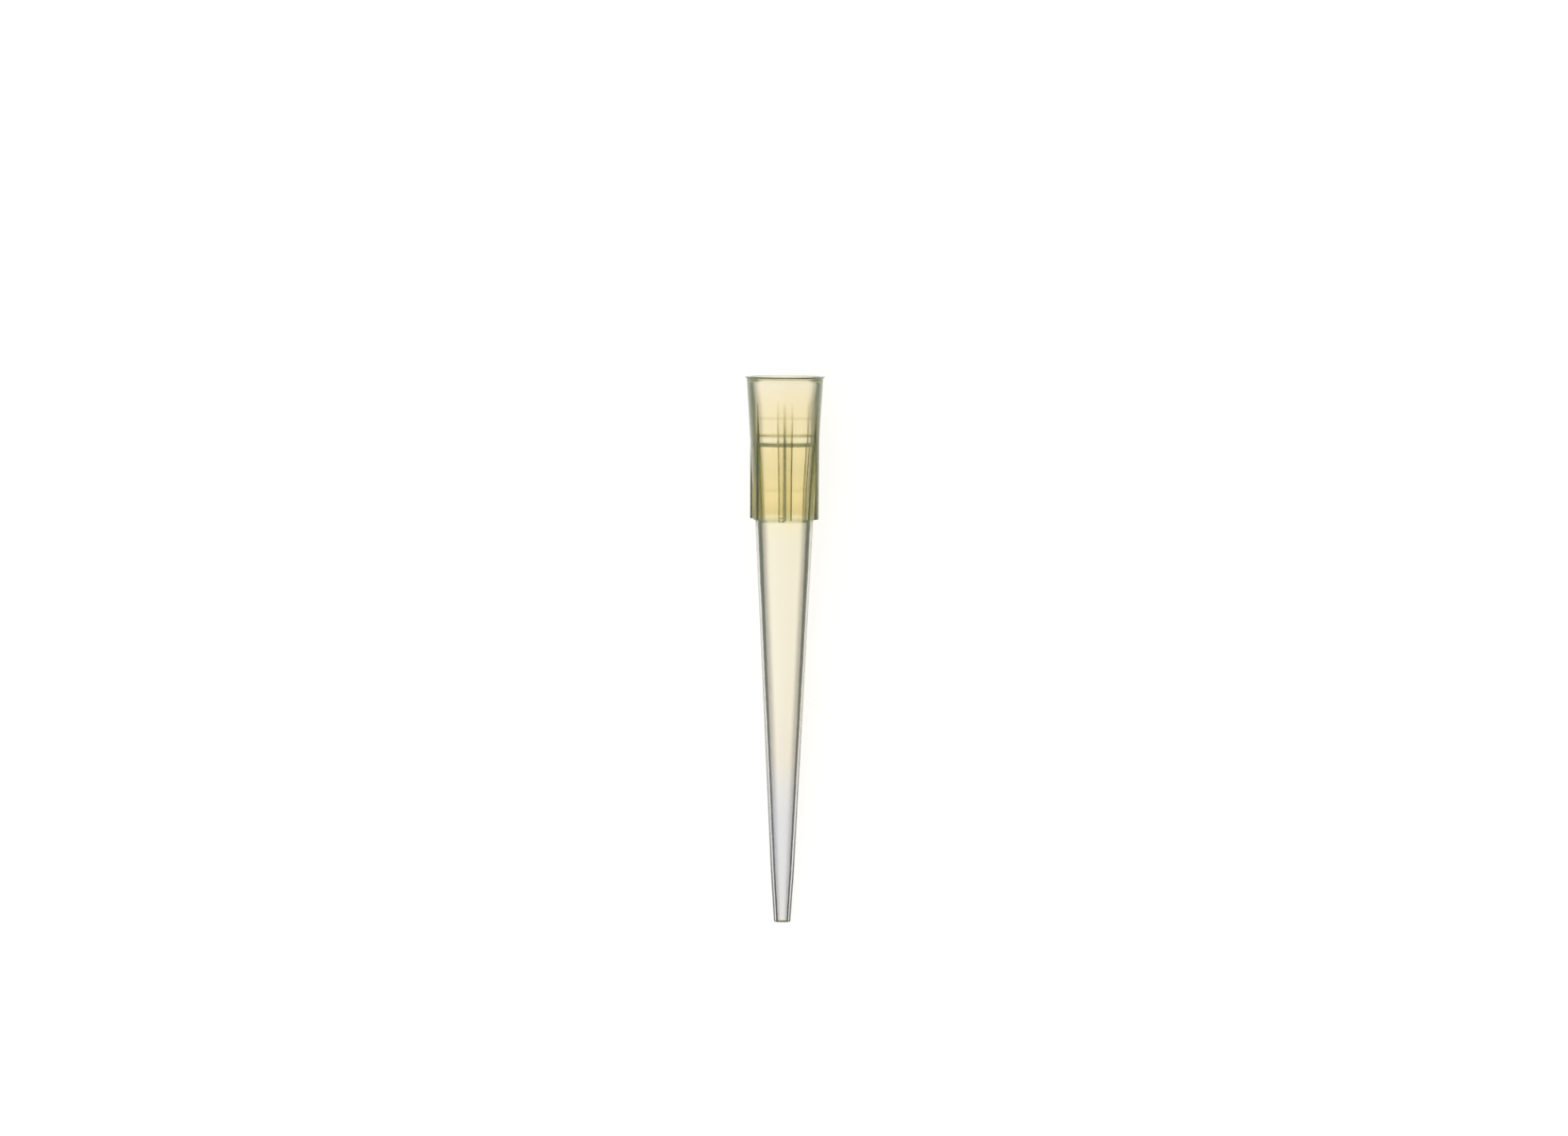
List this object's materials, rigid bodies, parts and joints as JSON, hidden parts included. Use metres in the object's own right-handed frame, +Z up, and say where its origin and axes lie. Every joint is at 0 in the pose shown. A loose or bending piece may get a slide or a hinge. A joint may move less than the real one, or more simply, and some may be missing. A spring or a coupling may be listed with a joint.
{
  "type": "pipette tip",
  "caption": "Tapered see-through yellow pipette tip with a ribbed socket collar, a flared lip and an open orifice, lying on its side.",
  "frame": {"origin": "on the surface that the tip lies on, below the middle of its length", "axes": "+X towards the rim along the ground, +Z up. The tip's own axis rises 3.42 degrees towards the rim, because it rests on two neighbouring ribs and its nose"},
  "size_m": [0.0504, 0.0074, 0.0075],
  "materials": {
    "tinted_polypropylene": "clear natural polypropylene with a pale yellow tint, strongest in the collar and fading out along the body, with a smooth moulded gloss"
  },
  "bodies": {
    "root": {"pipette_tip": "tinted_polypropylene"}
  },
  "joints": []
}
